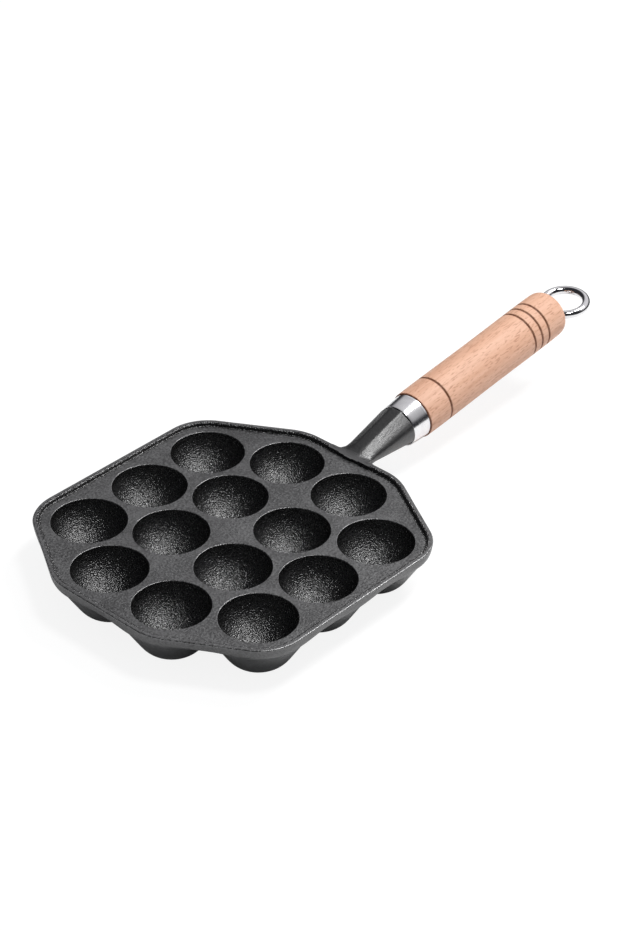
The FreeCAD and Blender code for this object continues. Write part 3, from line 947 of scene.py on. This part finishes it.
def stage_white():
    """White paper: the camera sees it white, with the object's soft shadow."""
    n = Nodes(bpy.data.materials.new("stage_white"))
    colour = n.blend(n.noise(n.place, 3.0), grey(PAPER_GREYS[0]), grey(PAPER_GREYS[1]))
    n.finish(Base_Color=colour, Roughness=0.9)
    away = n.node("VectorMath", {0: n.place}, operation="LENGTH").outputs["Value"]
    sheet = n.blend(n.between(away, *SHEET_EDGE), grey(SHEET_GREYS[0]), grey(SHEET_GREYS[1]))
    mirrored = n.node("BsdfDiffuse", {"Color": sheet}).outputs[0]
    glow = n.node("Emission", {"Strength": FLOOR_GLOW}).outputs[0]
    shaded = n.node("BsdfDiffuse", {"Color": grey(FLOOR_SHADE)}).outputs[0]
    lit = n.node("AddShader", {0: glow, 1: shaded}).outputs[0]
    seen, shiny = n.rays()
    shown = n.mixed(seen, n.mixed(shiny, n.shader.outputs[0], mirrored), lit)
    n.feed(n.tree.nodes["Material Output"].inputs["Surface"], shown)
    return n.owner


# ---- The part ----

def make_casting(materials):
    surface = Surface()
    add_lip(surface)
    add_plate_top(surface)
    for centre in mould_centres():
        add_mould(surface, centre)
    add_shell(surface)
    add_neck(surface)
    return surface.make("iron_casting", materials)


iron_materials = [                         # in the order of PLATE_IRON to EDGE_HIGHLIGHT_IRON
    iron("iron_plate", tones=(0.004, 0.078), roughness=0.44, index=1.5, grain=(1.3, 0.42)),
    # near-black in the moulds and along the lip's crease as painted shade; the pebbled skin is real
    iron("iron_mould_painted_shade", tones=(0.001, 0.004), roughness=0.27, index=1.6, grain=(1.0, 0.20),
         pebbles=0.34),
    # the outside's iron darkens towards the feet as painted shade, and is darker on the neck
    iron("iron_outside", tones=(0.004, 0.068), roughness=0.38, index=1.56, grain=(1.3, 0.14),
         pebbles=0.025, foot_shade_and_neck_tone=(0.020, 0.004)),
    # lighter colour on the edges is a painted highlight; the lower roughness gives real gloss
    iron("iron_edge_highlight", tones=(0.02, 0.11), roughness=0.25, index=1.7, grain=(1.0, 0.16)),
]
casting = make_casting(iron_materials)
grip = make_grip(beech())
ferrule = make_ferrule(steel("ferrule_steel", brightness=0.78, roughness=0.17, line_depth=0.01))
ring = make_ring(steel("ring_steel", brightness=0.72, roughness=0.10, line_depth=0.01))

for piece, node, body, slot in (
    (casting, "pan_casting", "pan", "cast_iron"),
    (grip, "wood_handle", "pan", "wood"),
    (ferrule, "ferrule", "pan", "ferrule_steel"),
    (ring, "hanging_ring", "rod_and_ring", "ring_steel"),
):
    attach(piece, body)
    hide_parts(node)

small_steel = steel("small_steel", brightness=0.62, roughness=0.28, line_depth=0.02)
for node in ("tie_rod", "end_washer"):
    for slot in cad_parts[node].material_slots:
        slot.material = small_steel


# ---- Stage, light and camera, with lengths in metres but for the camera's place ----

FLOOR_HALF = 8.0

LAMP_TARGET = (-0.06, 0.0, 0.03)
LAMP_DISTANCE = 1.1

ROOM_DARK = (0.03, 0.03, 0.035, 1)         # the room as shiny pieces show it, round a bright
ROOM_PALE = (0.90, 0.89, 0.92, 1)          # window: the window's colour, the direction to its
WINDOW_PLACE = (0.95, 0.0, 0.31)           # middle, and the cosines and heights between which
WINDOW_EDGE = (0.32, 0.74)                 # it fades out
WINDOW_FOOT = (0.16, 0.50)
SOFT_LIGHT = 0.35
SOFT_COLOUR = (0.96, 0.97, 1.0, 1)

CAMERA_PLACE = (-716.9, -711.3, 719.2)     # in millimetres from the middle of the plate's top
CAMERA_FORWARD = (0.6119, 0.5605, -0.5580)
CAMERA_UP = (0.4085, 0.3802, 0.8298)
CAMERA_LENS = 93.27
SENSOR_WIDTH = 36.0


def add_stage():
    corners = [(-1, -1, 0), (1, -1, 0), (1, 1, 0), (-1, 1, 0)]
    mesh = bpy.data.meshes.new("floor")
    mesh.from_pydata((np.array(corners) * FLOOR_HALF).tolist(), [], [(0, 1, 2, 3)])
    mesh.materials.append(stage_white())
    floor = link("floor", mesh)


def add_softbox(name, toward, long_side, size, power):
    """Strip lamp that looks at the pan from a direction, with its long side along another."""
    direction = Vector(toward).normalized()
    across = direction.cross(Vector(long_side)).normalized()
    light = bpy.data.lights.new(name, "AREA")
    light.shape = "RECTANGLE"
    light.size, light.size_y = size
    light.energy = power
    turn = Matrix((across.cross(direction), across, direction)).transposed().to_4x4()
    place = Vector(LAMP_TARGET) + direction * LAMP_DISTANCE
    link(name, light).matrix_world = Matrix.Translation(place) @ turn


def add_world():
    """White room to the camera, soft light to the object, and a bright window in its shine."""
    world = bpy.data.worlds.new("studio")
    bpy.context.scene.world = world
    n = Nodes(world)
    direction = n.node("TexCoord").outputs["Generated"]
    rise = n.node("SeparateXYZ", {0: direction}).outputs[2]
    inputs = {0: direction, 1: WINDOW_PLACE}
    facing = n.node("VectorMath", inputs, operation="DOT_PRODUCT").outputs["Value"]
    window = n.math("MULTIPLY", n.between(rise, *WINDOW_FOOT), n.between(facing, *WINDOW_EDGE))
    walls = n.blend(window, ROOM_DARK, ROOM_PALE)
    soft = n.node("Background", {"Color": SOFT_COLOUR, "Strength": SOFT_LIGHT}).outputs[0]
    room = n.node("Background", {"Color": walls}).outputs[0]
    white = n.node("Background", {"Color": (1, 1, 1, 1)}).outputs[0]
    seen, shiny = n.rays()
    shown = n.mixed(seen, n.mixed(shiny, soft, room), white)
    n.feed(n.tree.nodes["World Output"].inputs["Surface"], shown)


def add_camera():
    back = -Vector(CAMERA_FORWARD).normalized()
    right = Vector(CAMERA_UP).cross(back).normalized()
    up = back.cross(right)
    data = bpy.data.cameras.new("camera")
    data.lens = CAMERA_LENS
    data.sensor_width = SENSOR_WIDTH
    data.sensor_fit = "AUTO"
    camera = link("camera", data)
    place = (np.array(CAMERA_PLACE) + ORIGIN) * MM
    turn = Matrix((right, up, back)).transposed().to_4x4()
    camera.matrix_world = Matrix.Translation(place.tolist()) @ turn
    bpy.context.scene.camera = camera


add_stage()
add_world()
add_softbox("key", toward=(0.58, -0.14, 0.80), long_side=(1.0, 0.0, -0.5), size=(0.36, 0.30),
            power=6.7)
add_softbox("side", toward=(0.06, -0.30, 0.95), long_side=(1.0, 0.0, 0.0), size=(0.24, 0.22),
            power=5.2)
add_camera()
bpy.context.scene.view_settings.view_transform = "Standard"
